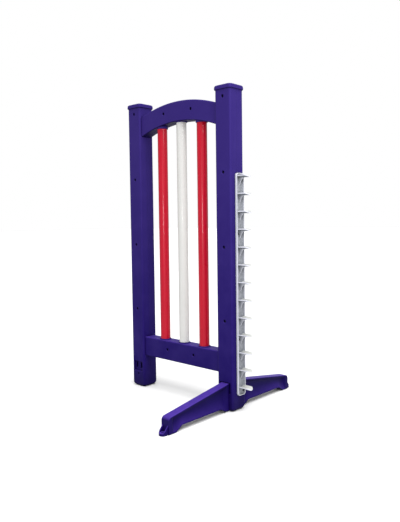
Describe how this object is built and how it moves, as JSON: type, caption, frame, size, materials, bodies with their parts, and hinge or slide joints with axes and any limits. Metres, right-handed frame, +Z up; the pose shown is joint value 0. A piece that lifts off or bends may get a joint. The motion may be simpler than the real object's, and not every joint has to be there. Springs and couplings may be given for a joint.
{
  "type": "agility hurdle wing",
  "caption": "Upright wing of a dog agility hurdle: arched two-post plastic frame with vertical bars, a strip of pole cups up one post, and plug-in stabiliser legs.",
  "frame": {"origin": "middle of the bounding box at floor level, where the feet and post bottoms stand", "axes": "+X along the wing towards the cup strip, +Y to the rear, +Z up"},
  "size_m": [0.5254, 0.626, 1.016],
  "materials": {
    "frame_plastic": "moulded polypropylene with a fine grain",
    "cap_plastic": "moulded polypropylene with a fine grain",
    "leg_plastic": "moulded polypropylene with a slight sheen",
    "red_tube": "smooth extruded tube with a soft gloss",
    "white_tube": "smooth extruded tube with a soft gloss",
    "strip_plastic": "satin moulded plastic",
    "screw_steel": "blackened steel"
  },
  "bodies": {
    "frame": {"front_shell": "frame_plastic", "rear_shell": "frame_plastic", "outer_post_cap": "cap_plastic", "inner_post_cap": "cap_plastic", "cup_strip": "strip_plastic", "shell_screw_1": "screw_steel", "shell_screw_2": "screw_steel", "shell_screw_3": "screw_steel", "shell_screw_4": "screw_steel", "shell_screw_5": "screw_steel", "shell_screw_6": "screw_steel", "shell_screw_7": "screw_steel", "shell_screw_8": "screw_steel", "shell_screw_9": "screw_steel", "shell_screw_10": "screw_steel", "shell_screw_11": "screw_steel", "shell_screw_12": "screw_steel", "strip_screw_1": "screw_steel", "strip_screw_2": "screw_steel", "strip_screw_3": "screw_steel", "strip_screw_4": "screw_steel", "strip_screw_5": "screw_steel"},
    "outer_bar": {"outer_bar": "red_tube"},
    "middle_bar": {"middle_bar": "white_tube"},
    "inner_bar": {"inner_bar": "red_tube"},
    "front_leg": {"front_leg": "leg_plastic"},
    "rear_leg": {"rear_leg": "leg_plastic"}
  },
  "joints": [
    {"name": "outer_bar_turn", "type": "hinge", "parent": "frame", "child": "outer_bar", "pos_m": [-0.11375, 0, 0.545], "axis": [0, 0, 1], "continuous": true},
    {"name": "middle_bar_turn", "type": "hinge", "parent": "frame", "child": "middle_bar", "pos_m": [-0.02075, 0, 0.545], "axis": [0, 0, 1], "continuous": true},
    {"name": "inner_bar_turn", "type": "hinge", "parent": "frame", "child": "inner_bar", "pos_m": [0.07225, 0, 0.545], "axis": [0, 0, 1], "continuous": true},
    {"name": "front_leg_pull", "type": "slide", "parent": "frame", "child": "front_leg", "axis": [0, -1, 0], "range_m": [0, 0.035]},
    {"name": "rear_leg_pull", "type": "slide", "parent": "frame", "child": "rear_leg", "axis": [0, 1, 0], "range_m": [0, 0.035]}
  ]
}
